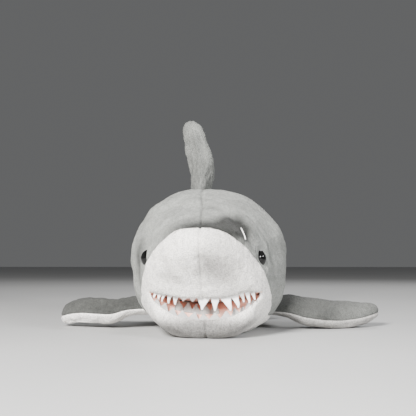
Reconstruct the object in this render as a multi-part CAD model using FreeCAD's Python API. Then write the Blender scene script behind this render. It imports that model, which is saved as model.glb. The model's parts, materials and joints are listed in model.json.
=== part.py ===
"""Plush great white shark, sewn from short-pile fabric and filled with fibre.

Row frame: +X is the shark's left, the snout points along -Y, +Z is up. The origin is in the middle of the
flat patch that the belly rests on, 150 mm behind the tip of the snout. All lengths are millimetres.

Every fin is sewn on along its root and the tail bends at two places, so each of those is a body of its own
that turns about the line or post of its hinge. The skin is cut into back and belly panels along the colour
seam and the middle seam; the fins are two panels each.
"""

import FreeCAD
import Part

import math
import os

V = FreeCAD.Vector

# ---------------------------------------------------------------- driving dimensions
SNOUT_Y = -150.0  # the tip of the snout
SKIN = 2.0  # fabric with its pile
SKIN_UNDER = 3.0  # the same under the belly, where the pile is pressed flat
FILL_GAP = 0.4  # between the skin and the filling
HALF_SPACE = 400.0  # larger than the toy, for cutting tools
ROUND_UPPER = 2.25  # exponent of the upper half of each cross-section; 2 is an ellipse

# Cross-sections of the trunk and tail stem: distance behind the snout's tip, half width,
# height of the widest place, top, bottom, exponent of the lower half.
SECTIONS = [
    (0.6, 6.5, 63.5, 68.0, 59.5, 2.1),
    (4.0, 15.8, 62.5, 74.0, 53.0, 2.15),
    (10.0, 24.5, 60.5, 78.2, 44.5, 2.2),
    (18.0, 31.5, 57.0, 81.0, 32.0, 2.3),
    (28.0, 37.8, 51.0, 85.0, 12.0, 2.3),
    (42.0, 44.4, 42.5, 90.8, -1.0, 2.35),
    (55.0, 48.4, 41.0, 95.7, -1.0, 2.4),
    (75.0, 54.0, 44.0, 102.0, -1.0, 2.5),
    (100.0, 60.4, 48.0, 109.0, -1.0, 2.75),
    (125.0, 63.8, 50.0, 113.0, -1.0, 2.9),
    (150.0, 62.8, 50.0, 111.8, -1.0, 2.9),
    (180.0, 56.5, 50.0, 105.0, -1.0, 2.8),
    (210.0, 46.5, 49.5, 95.0, 0.6, 2.7),
    (240.0, 35.5, 49.0, 84.0, 7.5, 2.4),
    (270.0, 26.5, 48.5, 74.5, 18.0, 2.2),
    (300.0, 19.5, 48.0, 67.0, 27.5, 2.1),
    (325.0, 14.8, 48.0, 62.5, 33.0, 2.0),
    (345.0, 12.0, 48.0, 60.0, 36.0, 2.0),
]
# The colour seam seen from the side: distance behind the tip, height.
COLOUR_SEAM = [
    (-20.0, 82.0),
    (0.0, 76.5),
    (14.0, 68.5),
    (36.0, 52.0),
    (48.0, 41.0),
    (60.0, 27.0),
    (74.0, 15.0),
    (96.0, 10.5),
    (125.0, 13.0),
    (165.0, 20.0),
    (210.0, 29.0),
    (270.0, 37.0),
    (370.0, 43.0),
]

# Mouth: a smile-shaped pocket that opens forwards.
MOUTH_HALF_WIDTH = 39.0
MOUTH_CORNER_Z = 32.0
UPPER_LIP_Z = 28.0
LOWER_LIP_Z = 12.7
MOUTH_BACK = 54.0  # behind the tip
LINING = 1.0
FELT = 1.2
TOOTH_OVERLAP = 0.4  # teeth of one strip run into each other at the root
LINING_CLEARANCE = 0.3
LIP_ENDS = 5.0  # from the mouth's corners to the ends of the teeth strips
TOOTH_BAND = 1.6
TOOTH_FULL_WIDTH = 7.0  # narrower teeth are lower in proportion
# Each strip: height of its lip, first and last of its teeth's edges, edges across the whole mouth,
# how far behind the lip, height of the teeth, lean towards the back, whether it stands on the lower lip.
TEETH = {
    "upper_teeth": (UPPER_LIP_Z, 0, 14, 14, 4.5, 7.8, 8.0, False),
    "lower_teeth_front": (LOWER_LIP_Z, 0, 12, 12, 4.5, 6.4, 35.0, True),
    "lower_teeth_back": (LOWER_LIP_Z, 3, 7, 12, 10.5, 7.4, 25.0, True),
}

# Safety eyes.
EYE_R = 6.0
EYE_HEIGHT = 4.8
EYE_RIM = 1.0  # height of the straight edge under the dome
EYE_BEHIND = 43.0
EYE_Z = 57.0
STEM_R = 2.0
STEM_LENGTH = 13.0
RIDGE_STEP = 1.2  # between the ridges at the stem's end
RIDGE = 0.5
WASHER_R = 8.0
WASHER_THICK = 1.6
WASHER_DEPTH = 7.0  # from the eye's back to the washer
COLLAR_R = 3.6
COLLAR_LENGTH = 3.0
STEM_CLEARANCE = 0.05
EYE_CLEARANCE = 0.6  # round the washer and the stem, in the filling
SEAT_CLEARANCE = 0.2

# Tail joints: posts that stand upright on the middle line.
TAIL_POST = 272.0
TAIL_POST_R = 28.5
FIN_POST = 337.0
FIN_POST_R = 14.5
POST_GAP = 0.5


def at(behind, x=0.0, z=0.0):
    """A point by its distance behind the tip of the snout."""
    return V(x, SNOUT_Y + behind, z)


def wire_of(*curves):
    """One closed wire from curves and edges that meet end to end."""
    edges = [c if isinstance(c, Part.Edge) else c.toShape() for c in curves]
    return Part.Wire(edges)


def loft(wires, ruled=False):
    return Part.makeLoft(wires, True, ruled)


def mirrored(shape):
    """The same piece on the other side of the middle plane."""
    return shape.mirror(V(0, 0, 0), V(1, 0, 0))


def box_between(low, high):
    return Part.makeBox(high.x - low.x, high.y - low.y, high.z - low.z, low)


def direction(angle, first, second):
    """A unit vector, angle degrees from first towards second."""
    turn = math.radians(angle)
    return first * math.cos(turn) + second * math.sin(turn)


def save(name, shape):
    """Writes one sub-part, as one solid or a group of separate solids."""
    solids = shape.Solids
    if not solids or not all(s.isValid() for s in solids):
        raise ValueError(f"{name} is not a valid solid")
    out = solids[0] if len(solids) == 1 else Part.makeCompound(solids)
    out.exportStep(f"parts/{name}.step")
    print(f"{name:28s} {len(solids)} solid(s) {out.Volume / 1000:8.2f} cm3")


# ---------------------------------------------------------------- trunk
CONTOUR_STEPS = 12


def half_section(section, inset, under):
    """The +X half of a cross-section as a closed wire, drawn in by inset, and by under at the bottom."""
    behind, half_width, z_wide, z_top, z_bottom, round_lower = section
    half_width, z_top, z_bottom = half_width - inset, z_top - inset, z_bottom + under
    points = []
    for k in range(CONTOUR_STEPS + 1):
        angle = math.pi * k / CONTOUR_STEPS
        upper = angle <= math.pi / 2
        power = 2.0 / (ROUND_UPPER if upper else round_lower)
        reach = (z_top - z_wide) if upper else (z_bottom - z_wide)
        x = half_width * math.sin(angle) ** power
        z = z_wide + reach * abs(math.cos(angle)) ** power
        points.append(at(behind, x, z))
    points[0] = at(behind, 0, z_top)
    points[-1] = at(behind, 0, z_bottom)
    contour = Part.BSplineCurve()
    contour.interpolate(
        Points=points, Parameters=[k / CONTOUR_STEPS for k in range(CONTOUR_STEPS + 1)]
    )
    middle = Part.LineSegment(points[-1], points[0])
    return wire_of(contour, middle)


def half_body(inset=0.0, under=0.0, first=0):
    """The +X half of the trunk and tail stem as one solid."""
    return loft([half_section(s, inset, under) for s in SECTIONS[first:]])


def above_colour_seam():
    """Everything above the colour seam, on the +X side."""
    seam = Part.BSplineCurve()
    seam.interpolate([at(behind, 0, z) for behind, z in COLOUR_SEAM])
    start, end = seam.StartPoint, seam.EndPoint
    high_end = V(0, end.y, HALF_SPACE)
    high_start = V(0, start.y, HALF_SPACE)
    outline = wire_of(
        seam,
        Part.LineSegment(end, high_end),
        Part.LineSegment(high_end, high_start),
        Part.LineSegment(high_start, start),
    )
    return Part.Face(outline).extrude(V(HALF_SPACE, 0, 0))


def post(behind, radius):
    """The upright cylinder of a tail joint."""
    return Part.makeCylinder(radius, 2 * HALF_SPACE, at(behind, 0, -HALF_SPACE))


def behind_plane(behind):
    """Everything behind a cross-plane."""
    low = V(-HALF_SPACE, SNOUT_Y + behind, -HALF_SPACE)
    return box_between(low, V(HALF_SPACE, HALF_SPACE, HALF_SPACE))


def split_at_post(shape, behind, radius):
    """(front, rear) at a tail joint: the rear has a round nose that turns in the front's socket."""
    front = shape.cut(behind_plane(behind)).cut(post(behind, radius + POST_GAP))
    rear = shape.common(behind_plane(behind).fuse(post(behind, radius)))
    return front, rear


def smile(raised=0.0):
    """The mouth pocket: a smile outline run back from in front of the lips."""
    left = at(0, -MOUTH_HALF_WIDTH, MOUTH_CORNER_Z + raised)
    right = at(0, MOUTH_HALF_WIDTH, MOUTH_CORNER_Z + raised)
    upper = Part.Arc(left, at(0, 0, UPPER_LIP_Z + raised), right)
    lower = Part.Arc(right, at(0, 0, LOWER_LIP_Z + raised), left)
    return Part.Face(wire_of(upper, lower)).extrude(V(0, MOUTH_BACK, 0))


def lip_height(x, middle_z):
    """Height of a lip arc at x."""
    drop = MOUTH_CORNER_Z - middle_z
    radius = (MOUTH_HALF_WIDTH**2 + drop**2) / (2 * drop)
    return middle_z + radius - math.sqrt(radius**2 - x**2)


def front_of(solid, x, z):
    """Distance behind the tip at which a line along +Y enters a solid."""
    ray = Part.makeLine(at(-20, x, z), at(MOUTH_BACK + 60, x, z))
    inside = solid.common(ray)
    return min(v.Point.y for v in inside.Vertexes) - SNOUT_Y


def tooth(base_left, base_right, height_vector):
    """A felt triangle on a short band, of the felt's thickness."""
    along = (base_right - base_left).normalize()
    base_left = base_left - along * TOOTH_OVERLAP
    base_right = base_right + along * TOOTH_OVERLAP
    out = along.cross(height_vector).normalize() * FELT
    root = height_vector * (TOOTH_BAND / height_vector.Length)
    tip = (base_left + base_right) * 0.5 + height_vector
    corners = [base_left, base_right, base_right + root, tip, base_left + root]
    return Part.Face(Part.makePolygon(corners + corners[:1])).extrude(out)


def teeth_strip(outer, middle_z, first, last, spread, setback, height, lean, rising):
    """A zigzag strip of felt teeth along a lip, from the first of its teeth's edges to the last."""
    up = 1.0 if rising else -1.0
    offset = up * (LINING + LINING_CLEARANCE)
    reach = MOUTH_HALF_WIDTH - LIP_ENDS
    edges = []
    for k in range(first, last + 1):
        x = reach * math.sin(math.pi * (k / spread - 0.5))
        lip = lip_height(x, middle_z)
        edges.append(at(front_of(outer, x, lip) + setback, x, lip + offset))
    way = direction(lean, V(0, 0, up), V(0, 1, 0))
    strip = None
    for left, right in zip(edges, edges[1:]):
        tall = height * min(1.0, (right - left).Length / TOOTH_FULL_WIDTH)
        one = tooth(left, right, way * tall)
        strip = one if strip is None else strip.fuse(one)
    return strip


# ---------------------------------------------------------------- safety eyes
def eye_place(outer):
    """(centre on the skin, outward direction) of the +X eye."""
    step = 4.0

    def on_skin(behind, z):
        ray = Part.makeLine(at(behind, 0, z), at(behind, HALF_SPACE, z))
        return max((v.Point for v in outer.common(ray).Vertexes), key=lambda p: p.x)

    along = on_skin(EYE_BEHIND + step, EYE_Z) - on_skin(EYE_BEHIND - step, EYE_Z)
    upward = on_skin(EYE_BEHIND, EYE_Z + step) - on_skin(EYE_BEHIND, EYE_Z - step)
    return on_skin(EYE_BEHIND, EYE_Z), along.cross(upward).normalize()


def eye_button(centre, out):
    """A domed plastic eye with a ridged stem behind it."""
    ball_r = (EYE_R**2 + EYE_HEIGHT**2) / (2 * EYE_HEIGHT)
    ball = Part.makeSphere(ball_r, centre + out * (EYE_RIM + EYE_HEIGHT - ball_r))
    dome = ball.common(Part.makeCylinder(EYE_R, 2 * EYE_HEIGHT, centre + out * EYE_RIM, out))
    base = Part.makeCylinder(EYE_R, EYE_RIM, centre, out)
    stem = Part.makeCylinder(STEM_R, STEM_LENGTH, centre, -out)
    button = base.fuse(dome).fuse(stem)
    for k in (1, 2):
        place = centre - out * (STEM_LENGTH - k * RIDGE_STEP)
        button = button.fuse(Part.makeCone(STEM_R + RIDGE, STEM_R, RIDGE_STEP, place, -out))
    return button


def eye_washer(centre, out):
    """The lock washer that grips the stem inside the skin."""
    back = centre - out * WASHER_DEPTH
    disc = Part.makeCylinder(WASHER_R, WASHER_THICK, back, -out)
    collar = Part.makeCylinder(COLLAR_R, COLLAR_LENGTH, back, -out)
    hole = Part.makeCylinder(STEM_R + STEM_CLEARANCE, 2 * COLLAR_LENGTH, back + out, -out)
    return disc.fuse(collar).cut(hole)


def eye_room(centre, out):
    """The space that an eye, its stem and its washer take in the skin and the filling."""
    long = STEM_LENGTH + 2 * EYE_HEIGHT
    start = WASHER_DEPTH - EYE_CLEARANCE
    hole = Part.makeCylinder(STEM_R + EYE_CLEARANCE, long, centre + out * EYE_HEIGHT, -out)
    seat = Part.makeCylinder(EYE_R + SEAT_CLEARANCE, 2 * EYE_HEIGHT, centre - out * STEM_CLEARANCE, out)
    pocket_length = COLLAR_LENGTH + 2 * EYE_CLEARANCE
    pocket = Part.makeCylinder(WASHER_R + EYE_CLEARANCE, pocket_length, centre - out * start, -out)
    return hole.fuse(seat).fuse(pocket)


# ---------------------------------------------------------------- fins
# A fin is a lens-shaped cushion whose seam lies in one plane. Its sections are given from root to tip as
# (distance out along the fin, sweep back along the root, half chord, half thickness).
LENS_STEPS = 8  # along each half of a cross-section
LENS_THINNER_BEHIND = 0.18  # the trailing edge is this much flatter than the leading one
TIP_SETBACK = 0.5  # the filling ends between the last two sections
ROOT_ROUNDING = (0.25, 0.6, 0.87)  # thickness of the rounded root, as shares of the first section's


def lens_curve(section, line, shrink, first_angle):
    """Half of a fin's cross-section, from the middle of one side round an edge to the other side's."""
    centre, half_chord, half_thick = section
    chord, across = line
    points = []
    for k in range(LENS_STEPS + 1):
        angle = first_angle + math.pi * k / LENS_STEPS
        thin = 1.0 - LENS_THINNER_BEHIND * (1 - math.cos(angle)) / 2
        along = -(half_chord - shrink) * math.cos(angle)
        away = (half_thick - shrink) * math.sin(angle) * thin
        points.append(centre + chord * along + across * away)
    curve = Part.BSplineCurve()
    curve.interpolate(Points=points, Parameters=[k / LENS_STEPS for k in range(LENS_STEPS + 1)])
    return curve.toShape()


def lens(section, line, shrink=0.0):
    """A fin's closed cross-section, drawn in by shrink."""
    return Part.Wire([lens_curve(section, line, shrink, a) for a in (-math.pi / 2, math.pi / 2)])


def rounded_root(section, out):
    """The sections of a fin's root, which is round about the root line so that the fin can flap."""
    centre, half_chord, half_thick = section
    rounded = []
    for share in ROOT_ROUNDING:
        back = half_thick * math.sqrt(1 - share**2)
        rounded.append((centre - out * back, half_chord, half_thick * share))
    return rounded


def seam_side(root, chord, out, side):
    """Everything on one side of a fin's seam plane."""
    normal = chord.cross(out).normalize() * side
    block = Part.makeBox(HALF_SPACE, HALF_SPACE, HALF_SPACE, V(-HALF_SPACE / 2, -HALF_SPACE / 2, 0))
    turn = FreeCAD.Placement(root, FreeCAD.Rotation(V(0, 0, 1), normal))
    block.Placement = turn.multiply(block.Placement)
    return block


def fin(root, out, chord, places, wall=None):
    """The two panels of a fin and, with a wall, its filling."""
    line = (chord, out.cross(chord).normalize())
    sections = [(root + out * far + chord * sweep, a, b) for far, sweep, a, b in places]
    skin = loft([lens(s, line) for s in rounded_root(sections[0], out) + sections], not wall)
    filling = None
    if wall:
        near, last = sections[-2:]
        inner = sections[:-1] + [tuple(n + (f - n) * TIP_SETBACK for n, f in zip(near, last))]
        skin = skin.cut(loft([lens(s, line, wall) for s in inner]))
        filling = loft([lens(s, line, wall + FILL_GAP) for s in inner])
    panels = [skin.common(seam_side(root, chord, out, side)) for side in (1, -1)]
    return panels + [filling]


PECTORAL_ROOT = (66.3, 124.0, 19.0)  # out from the middle, behind the tip, height
PECTORAL_PITCH = {"left": 11.0, "right": 4.5}  # the root line rises this many degrees towards the tail
PECTORAL_DROOP = {"left": -11.0, "right": -11.0}
PECTORAL = {
    "left": [
        (0.0, 0.0, 24.0, 5.6),
        (9.0, 1.5, 24.0, 9.0),
        (24.0, 4.0, 22.5, 10.8),
        (40.0, 7.5, 20.0, 10.8),
        (54.0, 11.5, 16.5, 9.8),
        (64.5, 15.0, 11.5, 7.0),
        (70.5, 17.0, 5.5, 3.6),
    ],
    "right": [
        (0.0, 0.0, 24.0, 5.6),
        (8.0, 1.5, 24.0, 9.0),
        (20.0, 3.5, 22.5, 10.8),
        (33.0, 6.5, 20.0, 10.8),
        (43.5, 9.5, 16.5, 9.8),
        (50.5, 12.5, 11.5, 7.0),
        (54.5, 14.0, 5.5, 3.6),
    ],
}
DORSAL_ROOT = (-1.0, 178.0, 110.9)
DORSAL_RISE = -16.0
DORSAL_LEAN = -9.0  # towards -X
DORSAL = [
    (0.0, 0.0, 26.0, 4.6),
    (8.5, 2.0, 24.0, 9.2),
    (24.0, 4.0, 20.5, 11.6),
    (40.0, 6.0, 17.2, 11.8),
    (56.0, 8.2, 14.0, 11.0),
    (70.0, 10.0, 10.2, 8.8),
    (79.0, 10.8, 5.6, 5.0),
    (82.0, 11.0, 2.6, 2.4),
]
SECOND_DORSAL_ROOT = (0.0, 303.5, 70.5)
SECOND_DORSAL_RISE = -13.0
SECOND_DORSAL = [
    (0.0, 0.0, 9.5, 3.0),
    (5.0, 3.0, 8.0, 3.8),
    (11.0, 6.5, 5.2, 3.2),
    (15.5, 9.5, 2.4, 1.7),
]
ANAL_ROOT = (0.0, 303.0, 24.2)
ANAL_RISE = 13.0
ANAL = [
    (0.0, 0.0, 8.0, 2.8),
    (4.5, 2.5, 7.0, 3.3),
    (10.0, 5.5, 4.6, 2.9),
    (14.0, 8.0, 2.2, 1.6),
]
PELVIC_ROOT = (42.3, 222.0, 12.0)
PELVIC_DROOP = -17.0
PELVIC = [
    (0.0, 0.0, 13.0, 2.8),
    (5.0, 1.5, 12.0, 3.7),
    (13.0, 5.0, 9.0, 3.7),
    (20.0, 8.5, 5.5, 2.7),
    (22.5, 10.0, 2.6, 1.6),
]

# Tail fin: two lobes that run up and back and down and back from the end of the stem.
LOBE_ROOT = 349.0  # behind the tip
LOBE_ROOT_Z = 48.0
TAIL_UPPER_RISE = 62.0  # degrees up from straight back
TAIL_UPPER = [
    (0.0, 0.0, 13.0, 7.4),
    (18.0, 0.0, 13.0, 8.4),
    (40.0, 0.0, 11.0, 7.8),
    (60.0, 0.0, 8.6, 6.4),
    (76.0, 0.0, 5.8, 4.6),
    (84.0, 0.0, 2.8, 2.4),
]
TAIL_LOWER_RISE = -57.0
TAIL_LOWER = [
    (0.0, 0.0, 13.0, 7.4),
    (14.0, 0.0, 12.0, 7.8),
    (28.0, 0.0, 9.6, 6.8),
    (41.0, 0.0, 6.6, 5.0),
    (49.5, 0.0, 3.0, 2.6),
]


def build_trunk():
    """The head and trunk skin, the mouth, the eyes and the filling. Returns the tail stem's pieces."""
    floor = box_between(V(-HALF_SPACE, -HALF_SPACE, 0), V(HALF_SPACE, HALF_SPACE, HALF_SPACE))
    outer = half_body().common(floor)
    inner = half_body(SKIN, SKIN_UNDER, first=1)
    filling = half_body(SKIN + FILL_GAP, SKIN_UNDER + FILL_GAP, first=1)
    skin = outer.cut(inner)
    above = above_colour_seam()
    back = skin.common(above)
    belly = skin.cut(above)

    whole_outer = outer.fuse(mirrored(outer))
    centre, out = eye_place(outer)
    room = eye_room(centre, out)
    mouth = smile()

    back_front, back_rear = split_at_post(back, TAIL_POST, TAIL_POST_R)
    belly_front, belly_rear = split_at_post(belly, TAIL_POST, TAIL_POST_R)
    fill_front, fill_rear = split_at_post(filling, TAIL_POST, TAIL_POST_R)

    back_front = back_front.cut(room)
    belly_front = belly_front.cut(room).cut(mouth)
    fill_front = fill_front.cut(room).cut(mouth)
    save("back_panel_left", back_front)
    save("back_panel_right", mirrored(back_front))
    save("belly_panel_left", belly_front)
    save("belly_panel_right", mirrored(belly_front))
    save("trunk_filling", fill_front.fuse(mirrored(fill_front)))

    build_mouth(whole_outer, inner.fuse(mirrored(inner)), mouth)

    button = eye_button(centre, out)
    washer = eye_washer(centre, out)
    save("eye_left", button)
    save("eye_right", mirrored(button))
    save("eye_washer_left", washer)
    save("eye_washer_right", mirrored(washer))
    return back_rear, belly_rear, fill_rear


def build_mouth(outer, inside, mouth):
    """The lining of the mouth pocket and the three felt teeth strips in it."""
    back_wall = mouth.common(behind_plane(MOUTH_BACK - LINING))
    lower = mouth.cut(smile(LINING)).cut(back_wall)
    upper = mouth.cut(smile(-LINING)).cut(lower).fuse(back_wall)
    save("mouth_lining_upper", upper.common(inside))
    save("mouth_lining_lower", lower.common(inside))
    for name, row in TEETH.items():
        save(name, teeth_strip(outer, *row))


def lobe(rise, places):
    """(solid, filling) of one lobe of the tail fin."""
    out = direction(rise, V(0, 1, 0), V(0, 0, 1))
    chord = out.cross(V(1, 0, 0))
    line = (chord, V(1, 0, 0))
    root = at(LOBE_ROOT, 0, LOBE_ROOT_Z)
    sections = [(root + out * far + chord * sweep, a, b) for far, sweep, a, b in places]
    near, last = sections[-2:]
    inner = sections[:-1] + [tuple(n + (f - n) * TIP_SETBACK for n, f in zip(near, last))]
    return loft([lens(s, line) for s in sections]), loft([lens(s, line, SKIN) for s in inner])


def build_tail(back, belly, filling):
    """The tail stem and, behind its own post, the tail fin."""
    back_stem, back_end = split_at_post(back, FIN_POST, FIN_POST_R)
    belly_stem, belly_end = split_at_post(belly, FIN_POST, FIN_POST_R)
    fill_stem, fill_end = split_at_post(filling, FIN_POST, FIN_POST_R)
    save("tail_back_panel_left", back_stem)
    save("tail_back_panel_right", mirrored(back_stem))
    save("tail_belly_panel_left", belly_stem)
    save("tail_belly_panel_right", mirrored(belly_stem))
    save("tail_filling", fill_stem.fuse(mirrored(fill_stem)))

    end = back_end.fuse(belly_end)
    whole = end.fuse(mirrored(end)).fuse(fill_end).fuse(mirrored(fill_end))
    hollow = fill_end.fuse(mirrored(fill_end))
    for rise, places in ((TAIL_UPPER_RISE, TAIL_UPPER), (TAIL_LOWER_RISE, TAIL_LOWER)):
        outer, inner = lobe(rise, places)
        whole = whole.fuse(outer)
        hollow = hollow.fuse(inner)
    skin = whole.cut(hollow)
    left_half = box_between(V(0, -HALF_SPACE, -HALF_SPACE), V(HALF_SPACE, HALF_SPACE, HALF_SPACE))
    save("tail_fin_panel_left", skin.common(left_half))
    save("tail_fin_panel_right", skin.cut(left_half))
    save("tail_fin_filling", hollow)


def build_fins():
    """The fins that are sewn to the skin, two panels each, with filling in the large ones."""
    for name, side in (("left", 1), ("right", -1)):
        sideways = V(side, 0, 0)
        rearwards = direction(PECTORAL_PITCH[name], V(0, 1, 0), V(0, 0, 1))
        x, behind, z = PECTORAL_ROOT
        out = direction(PECTORAL_DROOP[name], sideways, V(0, 0, 1))
        parts = fin(at(behind, side * x, z), out, rearwards, PECTORAL[name], SKIN)
        top, under = sorted(parts[:2], key=lambda p: -p.BoundBox.Center.z)
        save(f"pectoral_{name}_top_panel", top)
        save(f"pectoral_{name}_under_panel", under)
        save(f"pectoral_{name}_filling", parts[2])

        x, behind, z = PELVIC_ROOT
        out = direction(PELVIC_DROOP, sideways, V(0, 0, 1))
        parts = fin(at(behind, side * x, z), out, V(0, 1, 0), PELVIC)
        top, under = sorted(parts[:2], key=lambda p: -p.BoundBox.Center.z)
        save(f"pelvic_{name}_top_panel", top)
        save(f"pelvic_{name}_under_panel", under)

    for name, place, rise, lean, up, places, wall in (
        ("dorsal", DORSAL_ROOT, DORSAL_RISE, DORSAL_LEAN, 1, DORSAL, SKIN),
        ("second_dorsal", SECOND_DORSAL_ROOT, SECOND_DORSAL_RISE, 0, 1, SECOND_DORSAL, None),
        ("anal_fin", ANAL_ROOT, ANAL_RISE, 0, -1, ANAL, None),
    ):
        x, behind, z = place
        chord = direction(rise, V(0, 1, 0), V(0, 0, 1))
        out = direction(lean, V(1, 0, 0).cross(chord) * up, V(1, 0, 0))
        parts = fin(at(behind, x, z), out, chord, places, wall)
        left, right = sorted(parts[:2], key=lambda p: -p.BoundBox.Center.x)
        save(f"{name}_panel_left", left)
        save(f"{name}_panel_right", right)
        if wall:
            save(f"{name}_filling", parts[2])


os.makedirs("parts", exist_ok=True)
build_tail(*build_trunk())
build_fins()
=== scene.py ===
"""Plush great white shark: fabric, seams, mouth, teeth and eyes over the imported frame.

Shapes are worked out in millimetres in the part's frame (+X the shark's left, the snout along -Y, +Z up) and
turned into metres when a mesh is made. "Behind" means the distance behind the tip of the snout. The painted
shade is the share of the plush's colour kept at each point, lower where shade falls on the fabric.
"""

import json
import math

import bpy
import numpy as np
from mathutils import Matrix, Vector


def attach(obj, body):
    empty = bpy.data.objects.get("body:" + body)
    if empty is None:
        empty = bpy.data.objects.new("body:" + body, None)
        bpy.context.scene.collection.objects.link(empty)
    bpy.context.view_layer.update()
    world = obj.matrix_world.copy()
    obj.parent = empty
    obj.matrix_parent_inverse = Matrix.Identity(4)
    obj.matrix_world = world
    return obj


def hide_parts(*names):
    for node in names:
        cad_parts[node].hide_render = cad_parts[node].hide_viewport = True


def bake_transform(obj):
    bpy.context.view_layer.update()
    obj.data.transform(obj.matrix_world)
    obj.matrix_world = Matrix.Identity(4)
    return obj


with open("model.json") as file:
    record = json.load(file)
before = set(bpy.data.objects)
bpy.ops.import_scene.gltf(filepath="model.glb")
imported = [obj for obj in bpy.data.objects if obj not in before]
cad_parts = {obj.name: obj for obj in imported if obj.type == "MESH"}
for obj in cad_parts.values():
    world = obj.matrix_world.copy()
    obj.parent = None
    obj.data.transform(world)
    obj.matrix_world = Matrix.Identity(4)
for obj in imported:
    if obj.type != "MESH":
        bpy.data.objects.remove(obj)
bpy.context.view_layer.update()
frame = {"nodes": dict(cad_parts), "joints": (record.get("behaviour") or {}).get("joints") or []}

MM = 0.001
SNOUT_Y = -150.0
FULL_TURN = 2 * math.pi

# ---------------------------------------------------------------- the body's form
# behind, half width, height of the widest place, top, bottom, exponent of the lower half
SECTIONS = np.array([
    (0, 0, 64, 64, 64, 2.1),
    (0.6, 6.5, 63.5, 68, 59.5, 2.1),
    (4, 15.8, 62.5, 74, 53, 2.15),
    (10, 24.5, 60.5, 78.2, 44.5, 2.2),
    (18, 31.5, 57, 81, 32, 2.3),
    (28, 37.8, 51, 85, 12, 2.3),
    (34, 40.8, 46.5, 87.6, 2.6, 2.3),
    (42, 44.4, 42.5, 90.8, -1, 2.35),
    (55, 48.4, 41, 95.7, -1, 2.4),
    (75, 54, 44, 102, -1, 2.5),
    (100, 60.4, 48, 109, -1, 2.75),
    (125, 63.8, 50, 113, -1, 2.9),
    (150, 62.8, 50, 111.8, -1, 2.9),
    (180, 56.5, 50, 105, -1, 2.8),
    (210, 46.5, 49.5, 95, 0.6, 2.7),
    (240, 35.5, 49, 84, 7.5, 2.4),
    (270, 26.5, 48.5, 74.5, 18, 2.2),
    (300, 19.5, 48, 67, 27.5, 2.1),
    (325, 14.8, 48, 62.5, 33, 2),
    (345, 12, 48, 60, 36, 2),
])
ROUND_UPPER = 2.25
BEND_HALF = 42.0  # places this far each side of the tail's joint are handed to the body's pieces
BODY_END = 326.0  # where the tail fin's cuff is sewn on
RING_SAMPLES = 361
FLOOR_GAP = 0.3
FLOOR_SOFT = 0.5  # how gently the form flattens on the table
FULL_BODY, FULL_FIN = 0.9, 0.85  # how full the stuffing is
# The soft head sits a little askew: how far it is shifted to +X at each height.
LEAN = np.array([(0, 3.2), (32, 1.8), (57, 0.5), (76, 0.6), (112, -1)])
LEAN_FADES = (150.0, 260.0)
# The seam along the back wanders to -X, and most of all under the dorsal fin.
BACK_SEAM_WANDER = 3.2
DORSAL_WANDER = 7.4

# The white face's outline from in front: height, half width. It rules the colour seam at the head.
FACE_OUTLINE = np.array([
    (5, 50), (23.4, 49.8), (32, 48), (40, 45.8), (47.5, 43), (54.7, 39.3), (61.5, 34.2),
    (68.1, 26.9), (73.3, 19.3), (75.9, 12.5), (76.7, 6), (76.9, 0.5),
])
# Behind the head the seam is a curve of height by distance behind.
FLANK_SEAM = np.array([
    (0, 60), (60, 28), (75, 14), (96, 10), (125, 13), (165, 20), (210, 29),
    (270, 37), (370, 43),
])
FACE_TO_FLANK = (50.0, 74.0)

# The mouth.
MOUTH_HALF = 40.0
MOUTH_CORNER_Z = 32.0
UPPER_LIP_DROP = 4.4
LOWER_LIP_DROP = 20.4
LOWER_LIP_POWER = 1.75
LIP_ROLL = 3.2
POCKET_DEPTH = 24.0
POCKET_BACK_Y = SNOUT_Y + 30.0 + POCKET_DEPTH  # the lips' middle is 30 mm behind the tip
MOUTH_BEHIND = 75.0  # the mouth lies in front of this

# Eyes.
EYE_R = 6.0
EYE_DOME = 4.8
EYE_BEHIND = 43.0
EYE_Z = 57.0
EYE_SUNK = 1.4
EYE_DEEP = 4.7  # from the skin to the eye's back, so that the pile hides the rim


def curve_at(x, xs, table):
    """A smooth curve through the rows of a table, which stand at the places xs, read at each x."""
    slopes = np.gradient(table, xs, axis=0)
    k = np.clip(np.searchsorted(xs, x) - 1, 0, len(xs) - 2)
    step = (xs[k + 1] - xs[k])[:, None]
    t = (x - xs[k])[:, None] / step
    a = 2 * t**3 - 3 * t**2 + 1
    b = t**3 - 2 * t**2 + t
    c = t**3 - t**2
    return a * table[k] + b * (slopes[k] * step) + (1 - a) * table[k + 1] + c * (slopes[k + 1] * step)


def smoothstep(x, low, high):
    """0 up to low, 1 from high on, and a smooth rise between."""
    t = np.clip((x - low) / (high - low), 0, 1)
    return t * t * (3 - 2 * t)


def waves(points, size, seed, count=16):
    """Smooth noise of about -1 to 1 with lumps of that size, as a sum of plane waves."""
    rng = np.random.default_rng(seed)
    ways = rng.normal(size=(count, 3))
    ways /= np.linalg.norm(ways, axis=1)[:, None]
    lengths = size * rng.uniform(1.5, 3.5, count)
    phases = rng.uniform(0, FULL_TURN, count)
    total = np.zeros(points.shape[:-1])
    for way, length, phase in zip(ways, lengths, phases):
        total += np.sin(points @ way * (FULL_TURN / length) + phase)
    return total / math.sqrt(count)


def rings(behind):
    """x and z round the +X half of the body, from top to bottom, one row per distance behind."""
    root = np.sqrt(behind)
    table = curve_at(root, np.sqrt(SECTIONS[:, 0]), SECTIONS[:, 1:])
    half, wide, top, bottom, lower_power = table.T[:, :, None]
    angle = np.linspace(0, math.pi, RING_SAMPLES)[None, :]
    upper = angle <= math.pi / 2
    power = 2.0 / np.where(upper, ROUND_UPPER, lower_power)
    reach = np.where(upper, top - wide, bottom - wide)
    x = half * np.abs(np.sin(angle)) ** power
    z = wide + reach * np.abs(np.cos(angle)) ** power
    return x, z


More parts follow.
